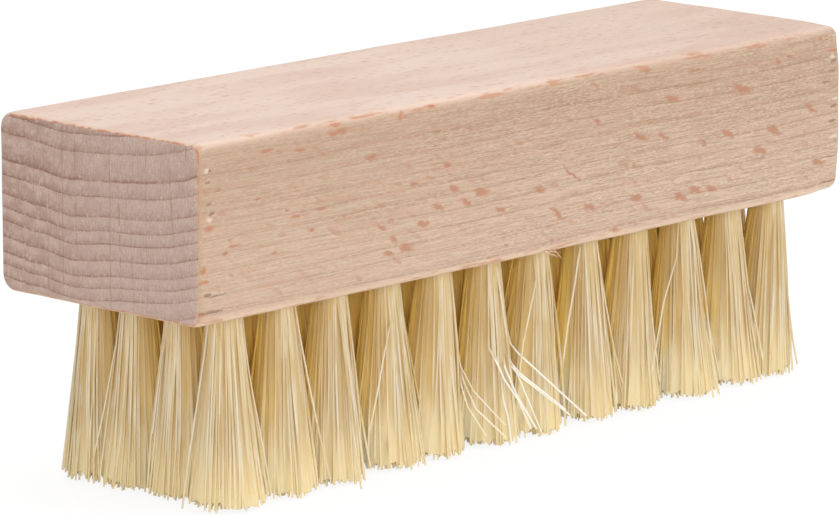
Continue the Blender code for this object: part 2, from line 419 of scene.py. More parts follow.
BURNT_SPOTS = ((-58.2, 36.1, 0.8, 0.45), (-59.3, 31.1, 0.35, 0.5), (-59.0, 29.7, 0.7, 0.25),
               (-59.5, 25.8, 0.4, 0.3), (-25.1, 45.3, 0.4, 0.55), (-36.4, 45.8, 1.1, 0.25),
               (-19.2, 45.9, 0.4, 0.25), (55.8, 45.2, 0.4, 0.35), (58.3, 43.3, 1.2, 0.18))

# The broad rays of the end grain: y of each, and how clear it is
END_RAYS = ((6.05, 1.0), (-2.25, 1.0), (-8.6, 0.5))


def beech_rings(f, x, turn, radius):
    """How far through its ring a place is, the slow darkening towards the ring's end, and the thin dark
    line there."""
    low, high = RING_RADII[0], RING_RADII[-1]
    count = len(RING_RADII) - 1
    points = [((r - low) / (high - low), k / count) for k, r in enumerate(RING_RADII)]
    rings = f.times(f.curve(f.step(radius, low, high, smooth=False), points), float(count))
    share = f.math("FRACT", rings)
    ring_odds = f.add("ShaderNodeTexWhiteNoise", {"W": f.math("FLOOR", rings)},
                      noise_dimensions="1D").outputs["Value"]
    late = f.times(f.math("POWER", share, 3.0), f.step(share, 1.0, 0.95))
    line = f.times(f.step(share, 0.84, 0.94), f.step(share, 1.0, 0.94))
    fade = f.step(f.waves((x, turn, radius), (14, 3.5, 1.3), detail=3), 0.36, 0.62)
    line_strength = f.times(line, f.plus(0.25, f.times(fade, 0.75)),
                            f.plus(0.50, f.times(ring_odds, 0.50)))
    return share, late, line_strength


def beech_rays(f, x, y, z, ray_turn, plain_radius):
    """Flat lens shapes, about 1.6 mm along the grain, 0.2 mm thick and several mm deep, and the two
    noises that their ragged outlines follow."""
    slant = f.minus(x, f.times(plain_radius, 1.05))
    ray_warp = f.waves((x, y, z), (1.3, 0.8, 0.8))
    ray_bend = f.sway(ray_warp, 0.95)
    ray_far, ray_odds = f.cells(f.vector(f.plus(f.times(slant, 1 / 2.0), ray_bend),
                                         f.plus(f.times(ray_turn, 1 / 0.32), ray_bend),
                                         f.times(plain_radius, 1 / 6.5)))
    ray_reach = f.plus(0.03, f.times(ray_odds["Red"], ray_odds["Red"], 0.36))
    ray_edge = f.waves((x, y, z), (0.45, 0.2, 0.25), detail=1.0)
    ray = f.step(f.minus(f.plus(ray_far, f.sway(ray_edge, 0.14)), ray_reach), 0.13, -0.10)
    ray = f.times(ray, f.plus(0.30, f.times(ray_odds["Green"], 0.70)),
                  f.plus(0.65, f.times(ray_edge, 0.70)))
    return ray, ray_warp, ray_edge


def front_marks(f, place, y, ray_warp, ray_edge):
    """The larger flecks and the small damage on the front, as the photograph shows them."""
    front = f.step(y, -16.2, -17.0)
    ragged = f.add("ShaderNodeVectorMath", {0: (1.5, 0, 0.6), "Scale": f.minus(ray_warp, 0.5)},
                   operation="SCALE").outputs[0]
    loose = f.add("ShaderNodeVectorMath", {0: place, 1: ragged}).outputs[0]
    loose_x, _, loose_z = f.split(loose)
    slanted = f.vector(f.plus(loose_x, f.times(loose_z, FLECK_SLANT)), 0.0, loose_z)
    slanted_flecks = []
    for at, level, length, height in SLANTED_FLECKS:
        taller = RIGHT_FLECK_SHARE if at > 0 else LEFT_FLECK_SHARE
        slanted_flecks.append((at + FLECK_SLANT * level, level, length, height * taller))
    fleck_far = f.math("MINIMUM", f.nearest(loose, LEVEL_FLECKS), f.nearest(slanted, slanted_flecks))
    fleck = f.times(f.step(f.plus(fleck_far, f.sway(ray_edge, 0.8)), 1.55, 0.45), front)
    pit = f.times(f.step(f.nearest(loose, PITS), 1.3, 0.5), front)
    chalk = f.times(f.step(f.nearest(loose, CHALK_SPOTS), 1.4, 0.3), front)
    burnt = f.times(f.step(f.nearest(loose, BURNT_SPOTS), 1.4, 0.4), f.step(y, -15.4, -16.2))
    return front, fleck, pit, chalk, burnt


def beech_end_grain(f, x, y, z, ray_way, left, share, line_strength):
    """Short upright flecks of the small rays, a few broad rays, and the rings at their clearest."""
    stripe = f.waves((x, y, z), (3, 0.17, 1.3), roughness=0.6)
    ray_fade = f.waves((0.0, ray_way, z), (1, 1.1, 1.5))
    ray_line = f.waves((3.1, ray_way, z), (1, 0.50, 26), detail=0.0)
    ray_line = f.times(f.step(ray_line, 0.69, 0.78), f.step(ray_fade, 0.35, 0.60))
    bent_y = f.plus(y, f.sway(f.noise(f.times(z, 1 / 3.5)), 0.5))
    for at, level in END_RAYS:
        broad_ray = f.step(f.math("ABSOLUTE", f.minus(bent_y, at)), 0.11, 0.04)
        ray_line = f.math("MAXIMUM", ray_line, f.times(broad_ray, level, f.step(ray_fade, 0.25, 0.45)))
    patch = f.waves((0.0, y, z), (1, 2.2, 1.6), detail=4, roughness=0.6)
    grain = f.waves((x, y, z), (0.2, 0.14, 0.18), detail=1.5, roughness=0.6)
    fuzz = f.waves((x, y, z), (1, 0.45, 0.6), detail=2.5)
    dash = f.waves((x, y, z), (2, 0.22, 0.75), detail=1.5)
    dash = f.times(f.step(dash, 0.54, 0.74), f.step(patch, 0.30, 0.60))
    end_late = f.times(f.math("POWER", share, 2.2), f.step(share, 1.0, 0.95), f.step(fuzz, 0.25, 0.60),
                       f.plus(0.46, f.times(left, 0.36)))
    end_line = f.times(line_strength, f.plus(0.50, f.times(f.step(fuzz, 0.30, 0.60), 0.30)))
    end_grain = f.coats(
        f.mix(f.step(stripe, 0.20, 0.80), END_GRAIN, END_GRAIN_PALE),
        (f.times(f.step(patch, 0.35, 0.65), 0.50), END_GRAIN_PALE),
        (f.times(f.step(grain, 0.50, 0.70), 0.30), END_GRAIN_RING),
        (f.times(dash, 0.42), END_GRAIN_CHALK),
        (f.times(f.step(grain, 0.46, 0.30), 0.30), END_GRAIN_CHALK),
        (f.times(left, f.step(patch, 0.62, 0.38), 0.34), END_GRAIN_BROWN),
        # Painted light from the floor: the end paler towards the bottom
        (f.times(f.step(z, 37.0, 27.0), 0.18), END_GRAIN_PALE),
        (end_late, END_GRAIN_RING),
        (f.times(ray_line, 0.55), END_GRAIN_BROWN),
        (end_line, END_GRAIN_RING))
    return end_grain, stripe, grain


def beech_finish():
    f = Finish("sanded_beech")
    place, x, y, z = f.millimetres()

    # Radius and turn round the pith
    across, below = f.minus(y, PITH_Y), f.minus(PITH_Z, z)
    plain_radius = f.math("SQRT", f.plus(f.times(across, across), f.times(below, below)))
    turn = f.times(f.math("ARCTAN2", across, below), RING_TURN_RADIUS)

    # The tree's slow wander, its small waves, and a step at each broad ray
    slow = f.waves((x, y, z), (42, 15, 30), detail=1.5)
    small = f.waves((x, turn, z), (11, 1.9, 7))
    wander = f.plus(f.sway(slow, 2.2), f.sway(small, 0.20))
    ray_turn = f.plus(turn, f.sway(f.waves((x, turn, z), (20, 5, 11)), 0.7))
    scallop = f.waves((x, ray_turn, plain_radius), (30, 1.1, 12), detail=1.5)
    left = f.step(y, -6.0, 14.0)
    ray_way = f.plus(f.times(y, 0.6), f.times(ray_turn, 0.4))
    _, block_odds = f.cells(f.stretch((ray_way, 7.3, x), (1.9, 1, 60)), dimensions="2D")
    shift = f.sway(block_odds["Red"], f.plus(0.05, f.times(left, 0.16)))
    radius = f.plus(plain_radius, wander, f.sway(scallop, 0.14), shift)

    # Rings and rays, and the marks of the front
    share, late, line_strength = beech_rings(f, x, turn, radius)
    ray, ray_warp, ray_edge = beech_rays(f, x, y, z, ray_turn, plain_radius)
    front, fleck, pit, chalk, burnt = front_marks(f, place, y, ray_warp, ray_edge)
    ray = f.math("MAXIMUM", f.times(ray, f.flip(f.times(front, 0.45))), fleck)

    # Pores and fibres: streaks a few millimetres long and a tenth wide
    streak = f.waves((x, turn, plain_radius), (5.0, 0.16, 0.16), detail=2.5, roughness=0.62)
    broad = f.waves((x, turn, plain_radius), (26, 2.6, 1.1))
    speck = f.waves((x, y, z), (0.75, 0.11, 0.11), detail=1.5, roughness=0.6)
    vein = f.waves((x, turn, radius), (22, 2.4, 0.40), roughness=0.6)
    vein = f.times(f.step(vein, 0.56, 0.70), f.step(speck, 0.30, 0.55))
    rough_patch = f.step(f.waves((x, y, z), (24, 6, 6)), 0.30, 0.70)
    rough_patch = f.plus(0.50, f.times(rough_patch, f.step(x, -45, 20), 0.60))
    pore = f.step(f.waves((x, turn, plain_radius), (1.8, 0.13, 0.13), detail=1.0), 0.58, 0.70)
    soft = f.step(f.waves((x, turn, plain_radius), (4.5, 1.0, 0.42)), 0.50, 0.68)

    # Where on the block: how far inside its ends, its sides, and its top and bottom
    inside_x, inside_y, inside_z = (
        f.minus(size / 2 / MM, f.math("ABSOLUTE", f.minus(value, middle / MM)))
        for value, middle, size in zip((x, y, z), WOOD_MIDDLE, WOOD_SIZE))
    ragged_end = f.minus(inside_x, f.sway(f.waves((x, y, z), (0.5, 0.8, 0.8), detail=3), 0.22))
    end = f.step(ragged_end, 0.34, 0.20)
    near_long = f.times(f.step(inside_y, 1.50, 0.35), f.step(inside_z, 1.50, 0.35))
    at_end = f.step(inside_x, 1.1, 0.4)
    edge_tone = f.waves((x, y, z), (4.0, 0.8, 0.8), detail=3)

    # Long grain, its flecks, and the rounded edges: the edges painted paler as a painted highlight, the
    # bottom ones most as painted light from the floor, with a rim burnt orange in places
    crisp = f.plus(0.55, f.times(f.step(x, -50, 10), 0.45))
    clear = f.flip(f.times(f.step(y, 13.0, 16.0), f.step(z, 43.5, 46.0)))
    # The top face is painted paler and whiter, more so towards the left end: a painted reflection of the
    # pale backdrop seen at a grazing angle
    top_pink = f.step(f.waves((x, y, 2.0), (30, 7, 1)), 0.40, 0.65)
    top_sheen_tone = f.mix(f.times(top_pink, 0.35), BEECH_TOP_SHEEN, BEECH_PINK)
    top_sheen_share = f.plus(0.54, f.times(f.step(x, 55.0, -10.0), 0.22))
    long_grain = f.mix(f.plus(0.5, f.sway(f.step(streak, 0.32, 0.68), crisp)), BEECH_SIDE, BEECH_PALE)
    long_grain = f.coats(
        long_grain,
        (f.times(f.step(broad, 0.42, 0.75), 0.45), BEECH_PINK),
        # Painted light from the floor: the sides paler towards the bottom
        (f.times(f.step(z, 45.0, 26.0), 0.20), BEECH_CHALK),
        # Painted shade: the front darker towards the top
        (f.times(f.step(z, 30.0, 46.0), f.step(y, -15.5, -17.2), 0.35), BEECH_SIDE),
        (f.times(late, clear, 0.20), BEECH_RING),
        (f.times(line_strength, clear, f.step(speck, 0.25, 0.60), f.times(crisp, 0.62)), BEECH_RING),
        (f.times(vein, clear, 0.36), BEECH_RING),
        (f.times(pore, crisp, 0.42), BEECH_RING),
        (f.times(f.step(speck, 0.52, 0.68), rough_patch, 0.42), BEECH_RING),
        (f.times(f.step(speck, 0.46, 0.30), rough_patch, 0.50), BEECH_CHALK),
        (f.times(soft, f.plus(0.12, f.times(f.step(x, 5.0, -40.0), 0.34))), BEECH_ROSE),
        # Painted reflection on the top face
        (f.times(f.step(z, 45.6, 46.3), top_sheen_share), top_sheen_tone),
        (f.times(ray, f.plus(0.50, f.times(streak, 0.50))), BEECH_FLECK),
        # Painted highlight on the rounded long edges, and painted light from the floor on the bottom ones
        (f.times(near_long, 0.28), EDGE_HIGHLIGHT_PEACH),
        (f.times(near_long, f.step(z, 27.0, 24.5), 0.65), EDGE_FLOOR_LIGHT_CREAM),
        (f.times(near_long, f.step(y, -15.0, -16.5), f.step(edge_tone, 0.53, 0.66), 0.65), EDGE_BURN),
        # Painted highlight on the rounded edges round the ends, at the top and bottom
        (f.times(at_end, f.step(inside_z, 1.65, 0.45), 0.50), EDGE_HIGHLIGHT_PEACH),
        (f.times(at_end, f.step(inside_y, 1.7, 0.5), f.step(edge_tone, 0.30, 0.55), 0.60), EDGE_OCHRE),
        (f.times(chalk, 0.75), BEECH_CHALK),
        (f.times(burnt, 0.70), EDGE_BURN),
        (f.times(pit, 0.66), PIT_BROWN))

    end_grain, stripe, grain = beech_end_grain(f, x, y, z, ray_way, left, share, line_strength)

    # The burnt line between end grain and long grain
    border_odds = f.waves((0.0, y, z), (1, 1.6, 1.6), detail=3)
    border_level = f.plus(f.step(z, 30.0, 45.0), f.step(z, 26.5, 24.3))
    border = f.times(f.step(ragged_end, 0.48, 0.34), f.step(ragged_end, 0.16, 0.28),
                     f.step(border_odds, 0.38, 0.60), border_level)
    tone = f.coats(long_grain, (end, end_grain), (f.times(border, 0.85), EDGE_BURN))

    side_height = f.plus(f.times(streak, 0.012), f.times(speck, 0.012), f.times(line_strength, -0.010),
                         f.times(pit, -0.02))
    smooth_rim = f.times(f.step(inside_y, 2.5, 0.9), f.step(z, 44.0, 46.0))
    side_height = f.times(side_height, f.flip(smooth_rim))
    end_height = f.plus(f.times(stripe, 0.004), f.times(grain, 0.012))
    height = f.plus(f.times(side_height, f.flip(end)), f.times(end_height, end))
    rough = f.plus(0.50, f.times(streak, 0.12), f.times(end, 0.14), f.times(line_strength, 0.08))
    return f.shade({"Base Color": tone, "Roughness": rough, "Specular IOR Level": 0.45,
                    "Normal": f.bump(height, 0.9)})


FIBRE_HIGHLIGHT_WHITE = colour(0.980, 0.950, 0.850)
FIBRE_TIP = colour(0.930, 0.775, 0.440)
FIBRE_PALE = colour(0.835, 0.750, 0.575)
FIBRE_CREAM = colour(0.750, 0.630, 0.430)
FIBRE_GOLD = colour(0.650, 0.470, 0.200)
FIBRE_GLOW = colour(0.700, 0.560, 0.330)
# Colours of painted shade and painted light: the shaded sides, the amber between fibres, and the light
# through them
FIBRE_SHADED = colour(0.595, 0.395, 0.140)
FIBRE_AMBER = colour(0.990, 0.710, 0.180)
FIBRE_LIT_THROUGH = colour(1.000, 0.880, 0.600)
FIBRE_BROWN = colour(0.600, 0.360, 0.130)

STEEL_GREY = colour(0.42, 0.41, 0.39)
STEEL_BRIGHT = colour(0.60, 0.59, 0.57)
STEEL_DULL = colour(0.30, 0.26, 0.22)


def fibre_finish():
    """Where a fibre lies among others, its colour is painted stronger: painted shade and painted light that
    stand in for the shade between the fibres and the light that passes through them.
    """
    f = Finish("stiff_plant_fibre")
    _, _, _, z = f.millimetres()
    tone, opened = f.mark("fibre_tone"), f.mark("fibre_open")
    root_x, root_y, _ = f.split(f.mark("fibre_root", "Vector"))
    streak = f.waves((root_x, root_y, z), (0.15, 0.15, 9), roughness=0.6)
    knots = f.waves((root_x, root_y, z), (0.3, 0.3, 1.6), detail=1.5)
    packed = f.step(tone, -0.2, -0.8)
    halfway = f.times(f.step(z, 3.0, 8.0), f.step(z, 17.0, 11.0))
    base = f.coats(
        f.mix(f.step(tone, 0.00, 0.50), FIBRE_GOLD, FIBRE_CREAM),
        (f.step(tone, 0.40, 1.0), FIBRE_PALE),
        # Painted glow on the packed core, standing for light through the packed fibres
        (f.times(packed, 0.80), FIBRE_GLOW),
        (f.times(f.step(streak, 0.50, 0.62), 0.60), FIBRE_PALE),
        (f.times(f.step(streak, 0.50, 0.38), 0.70), FIBRE_GOLD),
        # Painted shade: darker streaks on the core stand for the gaps between the fibres
        (f.times(packed, f.step(streak, 0.42, 0.34), 0.30), FIBRE_BROWN),
        (f.times(f.step(knots, 0.62, 0.84), 0.12), FIBRE_BROWN),
        # Painted light: the tips paler and yellower, as more light reaches them
        (f.times(f.step(z, 10.0, 1.0), 0.75), FIBRE_TIP),
        # Painted shade: the fibres more golden near the wood, under the block
        (f.times(f.step(z, 8.0, 24.0), 0.15), FIBRE_GOLD),
        # Painted highlight on the bent fibres that stand out in the light
        (f.step(tone, 1.1, 1.4), FIBRE_HIGHLIGHT_WHITE),
        # Painted shade on the sides that face the neighbouring tufts
        (f.times(f.step(opened, 1.05, 0.35), f.step(z, 0.0, 18.0), 0.88), FIBRE_SHADED),
        # Painted light near the tips, standing for light that passes through the fibres
        (f.times(f.step(opened, 0.75, -0.10), f.step(z, 10.5, 5.0), 0.90), FIBRE_LIT_THROUGH),
        # Painted amber: painted light and shade in the inner tufts and between the fibres, and halfway down
        # the sides
        (f.times(f.step(opened, 0.20, -0.60), f.step(z, 3.5, 9.0), 0.95), FIBRE_AMBER),
        (f.times(f.step(opened, 0.65, -0.10), halfway, 0.42), FIBRE_AMBER))
    height = f.plus(f.times(streak, 0.030), f.times(knots, 0.012))
    return f.shade({"Base Color": base, "Roughness": f.plus(0.42, f.times(streak, 0.20)),
                    "Specular IOR Level": 0.35, "Normal": f.bump(height, 0.5)})


def anchor_finish():
    f = Finish("drawn_steel_wire")
    place, x, y, z = f.millimetres()
    drawn = f.waves((x, y, z), (4, 0.1, 0.1), detail=3)
    dull = f.noise(place, scale=0.9, detail=3)
    tone = f.coats(f.mix(f.step(drawn, 0.3, 0.7), STEEL_GREY, STEEL_BRIGHT),
                   (f.times(f.step(dull, 0.5, 0.8), 0.4), STEEL_DULL))
    return f.shade({"Base Color": tone, "Roughness": f.plus(0.28, f.times(drawn, 0.22)), "Metallic": 1.0})


# The block and its drilled holes


def hole_places():
    """Each hole's row and column, and its x and y."""
    for row in range(1, ROWS + 1):
        for column in range(1, COLUMNS + 1):
            seen = row == 1 or column == COLUMNS
            wander_x = FRONT_WANDER_X[column - 1] * MM if seen else 0.0
            wander_y = ROW_WANDER_Y[row - 1] * MM
            yield row, column, (FIRST_COLUMN_X + (column - 1) * COLUMN_PITCH + wander_x,
                                FIRST_ROW_Y + (row - 1) * ROW_PITCH + wander_y)


def copy_to_holes(piece, name):
    """Copies a piece from the origin to every hole and joins the copies, without the first piece."""
    copies = []
    for _, _, (x, y) in hole_places():
        copy = add_object(name, piece.data.copy())
        copy.data.transform(Matrix.Translation((x, y, 0)))
        copies.append(copy)
    bpy.data.objects.remove(piece)
    return join(copies)


def drill_shape():
    """What the drill takes out for one hole, with its broken rim, standing under the origin."""
    deselect_all()
    bpy.ops.mesh.primitive_cylinder_add(
        vertices=HOLE_SIDES, radius=HOLE_RADIUS, depth=HOLE_DEPTH - HOLE_BREAK,
        location=(0, 0, WOOD_LOW.z + (HOLE_DEPTH + HOLE_BREAK) / 2))
    drill = bpy.context.object
    drill.name = "drill_shape"
    settle(drill)
    bpy.ops.object.mode_set(mode="EDIT")

    def pick_cap(height):
        pick(drill, "FACE", lambda co: abs(co.z - WOOD_LOW.z - height) < TOUCHING)

    def pull_cap(rise, scale):
        bpy.ops.mesh.extrude_region_move(TRANSFORM_OT_translate={"value": (0, 0, rise)})
        bpy.ops.transform.resize(value=(scale, scale, 1))

    pick_cap(HOLE_DEPTH)
    pull_cap(DRILL_POINT_HEIGHT * (1 - DRILL_TIP_SHARE), DRILL_TIP_SHARE)
    pick_cap(HOLE_BREAK)
    pull_cap(-HOLE_BREAK, 1 + HOLE_BREAK / HOLE_RADIUS)
    pull_cap(-DRILL_REACH_BELOW, 1)
    bpy.ops.object.mode_set(mode="OBJECT")
    return drill


def round_edges(block):
    """The four long edges, each with its own rounding, and then the edges round the ends."""
    for side, level, radius in ((-1, 1, FRONT_TOP_RADIUS), (-1, -1, FRONT_BOTTOM_RADIUS),
                                (1, 1, BACK_RADIUS), (1, -1, BACK_RADIUS)):
        corner_y, corner_z = side * WOOD_SIZE.y / 2, WOOD_MIDDLE.z + level * WOOD_SIZE.z / 2
        pick(block, "EDGE",
             lambda co: abs(co.y - corner_y) < TOUCHING and abs(co.z - corner_z) < TOUCHING)
        bpy.ops.mesh.bevel(offset=radius, segments=LONG_EDGE_STEPS, profile=0.5, affect="EDGES")
    for side in (-1, 1):
        pick(block, "EDGE", lambda co: abs(co.x - side * WOOD_SIZE.x / 2) < TOUCHING)
        bpy.ops.mesh.bevel(offset=END_RADIUS, segments=END_EDGE_STEPS, profile=0.5, affect="EDGES")


def cut_across(half):
    """Cuts across the faces, so that the sanded surface can wander."""
    for axis, margin in enumerate((END_MARGIN, SIDE_MARGIN, SIDE_MARGIN)):
        reach = half[axis] - margin
        steps = round(2 * reach / GRID_PITCH)
        for k in range(steps + 1):
            place, facing = [0, 0, WOOD_MIDDLE.z], [0, 0, 0]
            place[axis] += -reach + 2 * reach * k / steps
            facing[axis] = 1
            bpy.ops.mesh.select_all(action="SELECT")
            bpy.ops.mesh.bisect(plane_co=place, plane_no=facing)


def press_far_corners(block):
    """The two front corners of the far end are sanded rounder than the others."""
    for corner, push in FAR_CORNERS:
        pick(block, "VERT", lambda co: (co - Vector(corner) * MM).length < CORNER_PICK)
        bpy.ops.transform.translate(value=Vector(push) * MM, use_proportional_edit=True,
                                    proportional_edit_falloff="SMOOTH", proportional_size=CORNER_REACH)


def sand(block, half):
    """Sanding by hand leaves the faces a little uneven and the edges more so."""
    edges = block.vertex_groups.new(name="near_edges")
    for v in block.data.vertices:
        depths = sorted((half.x - abs(v.co.x), half.y - abs(v.co.y),
                         half.z - abs(v.co.z - WOOD_MIDDLE.z)))
        edges.add([v.index], min(max((EDGE_BAND - depths[1]) / EDGE_FADE, 0), 1), "REPLACE")
    for name, span, waves, level, depth, group in (
            ("sanding_waves", SANDING_SPAN, 1, SANDING_LEVEL, SANDING_DEPTH, ""),
            ("edge_wobble", EDGE_WOBBLE_SPAN, 2, EDGE_WOBBLE_LEVEL, EDGE_WOBBLE_DEPTH, "near_edges")):
        texture = bpy.data.textures.new(name, "CLOUDS")
        texture.noise_scale, texture.noise_depth = span, waves
        apply_modifier(block, "DISPLACE", name, texture=texture, texture_coords="LOCAL",
                       direction="NORMAL", mid_level=level, strength=depth, vertex_group=group)
    block.vertex_groups.clear()


def make_block(material):
    deselect_all()
    bpy.ops.mesh.primitive_cube_add(size=1, location=WOOD_MIDDLE)
    block = bpy.context.object
    block.name = "beech_block"
    block.scale = WOOD_SIZE
    settle(block)
    bpy.ops.object.mode_set(mode="EDIT")
    half = WOOD_SIZE / 2
    round_edges(block)
    cut_across(half)
    press_far_corners(block)
    bpy.ops.object.mode_set(mode="OBJECT")
    sand(block, half)

    # The holes are cut out in one step
    drills = copy_to_holes(drill_shape(), "drilled_hole")
    apply_modifier(block, "BOOLEAN", "Holes", object=drills, operation="DIFFERENCE", solver="EXACT")
    bpy.data.objects.remove(drills)
    take(block)
    bpy.ops.object.shade_smooth_by_angle(angle=WOOD_SMOOTH_ANGLE)
    block.data.materials.clear()
    block.data.materials.append(material)
    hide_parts("handle_block")
    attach(block, "root")


# A torn edge under the front: where each splinter starts and ends, and how thick it is at its root
SPLINTERS = (
    ((1.8, -17.0, 24.4), (3.9, -17.5, 23.4), 0.30),
    ((2.6, -16.9, 24.3), (4.7, -17.3, 23.8), 0.24),
    ((3.6, -17.0, 24.3), (4.4, -17.7, 23.1), 0.20),
    ((2.2, -16.8, 24.2), (3.1, -17.3, 23.5), 0.17),
)
SPLINTER_TIP_RADIUS = 0.02 * MM


def make_splinters(material):
    slivers = []
    for root, tip, thick in SPLINTERS:
        root, tip = Vector(root) * MM, Vector(tip) * MM
        deselect_all()
        bpy.ops.mesh.primitive_cone_add(vertices=6, radius1=thick * MM, radius2=SPLINTER_TIP_RADIUS,
                                        depth=(tip - root).length)
        sliver = bpy.context.object
        sliver.name = "torn_sliver"
        sliver.scale = (1, 0.5, 1)
        sliver.rotation_mode = "QUATERNION"
        sliver.rotation_quaternion = (tip - root).to_track_quat("Z", "Y")
        sliver.location = (root + tip) / 2
        settle(sliver)
        slivers.append(sliver)
    splinters = join(slivers)
    splinters.name = "edge_splinters"
    splinters.data.materials.append(material)
    bpy.ops.object.shade_smooth_by_angle(angle=WOOD_SMOOTH_ANGLE)
    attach(splinters, "root")


# The tufts, their fibres and the anchors


def ringed_rod(name, sides, rings, **ends):
    """A round rod of radius 1 from z = 0 to 1, with rings to bend at."""
    deselect_all()
    bpy.ops.mesh.primitive_cylinder_add(vertices=sides, radius=1, depth=1, location=(0, 0, 0.5), **ends)
    rod = bpy.context.object
    rod.name = name
    settle(rod)
    bpy.ops.object.mode_set(mode="EDIT")
    for k in range(1, rings - 1):
        bpy.ops.mesh.select_all(action="SELECT")
        bpy.ops.mesh.bisect(plane_co=(0, 0, k / (rings - 1)), plane_no=(0, 0, 1))
    bpy.ops.mesh.select_all(action="SELECT")
    bpy.ops.mesh.normals_make_consistent(inside=False)
    bpy.ops.object.mode_set(mode="OBJECT")
    return rod


def outline_share(height):
    """How far a tuft has opened between the wood (height 1) and the tips (height 0)."""
    opening = 1 - height
    return opening * (0.80 + 0.20 * opening)


def tuft_reach(spread, opened):
    """A tuft's radius where it has opened that far."""
    return ROOT_RADIUS + (TIP_RADIUS * spread - ROOT_RADIUS) * opened


class RodShape:
    """A rod's vertices and faces as arrays. The rod itself is removed."""

    def __init__(self, rod):
        places = np.array([v.co for v in rod.data.vertices])
        self.plan, self.height = places[:, :2], places[:, 2]
        self.faces = [tuple(p.vertices) for p in rod.data.polygons]
        self.count = len(places)
        bpy.data.objects.remove(rod)


class CoreShape(RodShape):
    """The fibres inside a tuft, packed so closely that they read as one body, fitted in each tuft."""

    def __init__(self):
        super().__init__(ringed_rod("packed_core", CORE_SIDES, CORE_RINGS, end_fill_type="TRIFAN"))
        far, at_tips = np.hypot(*self.plan.T), self.height < 0.01
        self.rim, self.middle = (far > 0.5) & at_tips, (far < 0.5) & at_tips

    def fit(self, lean, spread, rng):
        z = CORE_LOW_Z + (CORE_HIGH_Z - CORE_LOW_Z) * self.height
        ragged = rng.uniform(0, CORE_RAGGED, self.count) + CORE_SIDE_RISE * np.abs(self.plan[:, 0])
        z += self.rim * ragged + self.middle * CORE_MIDDLE_RISE
        opened = outline_share(np.clip(z / ROOT_Z, 0, 1))
        out = np.empty((self.count, 3))
        out[:, :2] = self.plan * (CORE_SHARE * tuft_reach(spread, opened))[:, None] + lean * opened[:, None]
        out[:, 2] = z
        return out


class FibreShape(RodShape):
    """A thin five-sided rod, ready to be bent into many folded fibres."""

    def __init__(self):
        super().__init__(ringed_rod("straight_fibre", FIBRE_SIDES, FIBRE_RINGS))
        self.ring = np.rint(self.height * (FIBRE_RINGS - 1)).astype(int)

    def bend(self, lines, radii):
        """Vertices of one fibre per line, and which way each faces. lines is (fibres, rings, 3), and
        radii (fibres, rings, 2)."""
        along = np.gradient(lines, axis=1)
        along /= np.linalg.norm(along, axis=2, keepdims=True)
        side = np.cross(along, np.array([1.0, 0.0, 0.0]))
        side /= np.linalg.norm(side, axis=2, keepdims=True)
        other = np.cross(along, side)
        at, out = lines[:, self.ring], radii[:, self.ring]
        u, v = side[:, self.ring] * self.plan[:, :1], other[:, self.ring] * self.plan[:, 1:]
        places, facing = at + u * out[..., :1] + v * out[..., 1:], u + v
        return places.reshape(-1, 3), facing.reshape(-1, 3)


def outer_ways(row, column):
    """Which ways out of the brush a tuft stands at."""
    ways = [(0, -1)] * (row == 1) + [(0, 1)] * (row == ROWS)
    ways += [(-1, 0)] * (column == 1) + [(1, 0)] * (column == COLUMNS)
    return np.array(ways, float).reshape(-1, 2)


def outward_shading(places, facing, axis, reach, ways):
    """Turns each fibre's shading most of the way to its tuft's, so that a tuft reads as one soft mass, and
    near the tips, where the tufts meet, to the whole brush's."""
    out = np.concatenate([places[:, :2] - axis, np.full((len(places), 1), 0.0)], axis=1)
    far = np.linalg.norm(out, axis=1, keepdims=True)
    out /= np.maximum(far, 0.1 * MM)
    agree = np.sum(facing * out, axis=1, keepdims=True)
    if len(ways):
        share = np.clip((1.0 if len(ways) == 1 else CORNER_WAY_SHARE) + out[:, :2] @ ways.T, 0, 1)
        merged = np.clip((MERGED_Z - places[:, 2:]) / MERGED_Z, 0, 1) ** MERGED_CURVE
        merged = MERGED_SHADING * merged
        out[:, :2] = out[:, :2] * (1 - merged) + (share @ ways) * merged
        out /= np.maximum(np.linalg.norm(out, axis=1, keepdims=True), 0.1)
    weight = OUTWARD_SHADING * np.clip(1.3 * far / reach[:, None], 0, 1) * np.clip(1 + 2.5 * agree, 0, 1)
    mixed = facing * (1 - weight) + out * weight
    return mixed / np.maximum(np.linalg.norm(mixed, axis=1, keepdims=True), 1e-6)


# The fibre finish paints shade and light by this share
def open_share(places, facing, axis, reach, ways):
    """1 where a fibre faces out of the brush, 0 where it faces the tuft beside it, and down to -1 where
    it faces the fibres behind it or stands in an inner tuft."""
    if not len(ways):
        return np.full(len(places), -1.0)
    out = (places[:, :2] - axis) / reach[:, None]
    agree = np.sum(facing[:, :2] * out, axis=1)
    packed = np.abs(facing).sum(axis=1) == 0
    between = TURNED_AWAY_WEIGHT * np.clip(TURNED_AWAY_FROM - agree, 0, 1) + PACKED_WEIGHT * packed
    return np.clip((out @ ways.T).max(axis=1) - between, -1, 1)


# How far the tips of a tuft lean, in millimetres along x and y, and how far it spreads, where the
# photograph shows it: (row, column). The others lean and spread at random.
TUFT_LEANS = {(1, 1): (-0.25, -0.45), (1, 2): (-0.10, -0.35), (1, 3): (-0.55, -0.35), (1, 4): (0.6, 0.1),
              (1, 5): (-0.9, 0.0), (1, 6): (-0.3, -0.25), (1, 7): (-1.4, -0.2), (1, 8): (0.3, 0.1),
              (1, 9): (-1.1, -0.2), (1, 10): (-0.1, -0.45), (1, 11): (0.5, 0.0), (1, 12): (-1.7, 0.0),
              (2, 12): (-0.8, 0.0), (3, 12): (-0.8, 0.0), (4, 12): (-0.8, 0.0)}
TUFT_SPREADS = {(1, 1): 1.06, (1, 2): 1.03, (1, 12): 0.98}
LEAN_SCATTER, SPREAD_RANGE = 0.20, (0.97, 1.04)

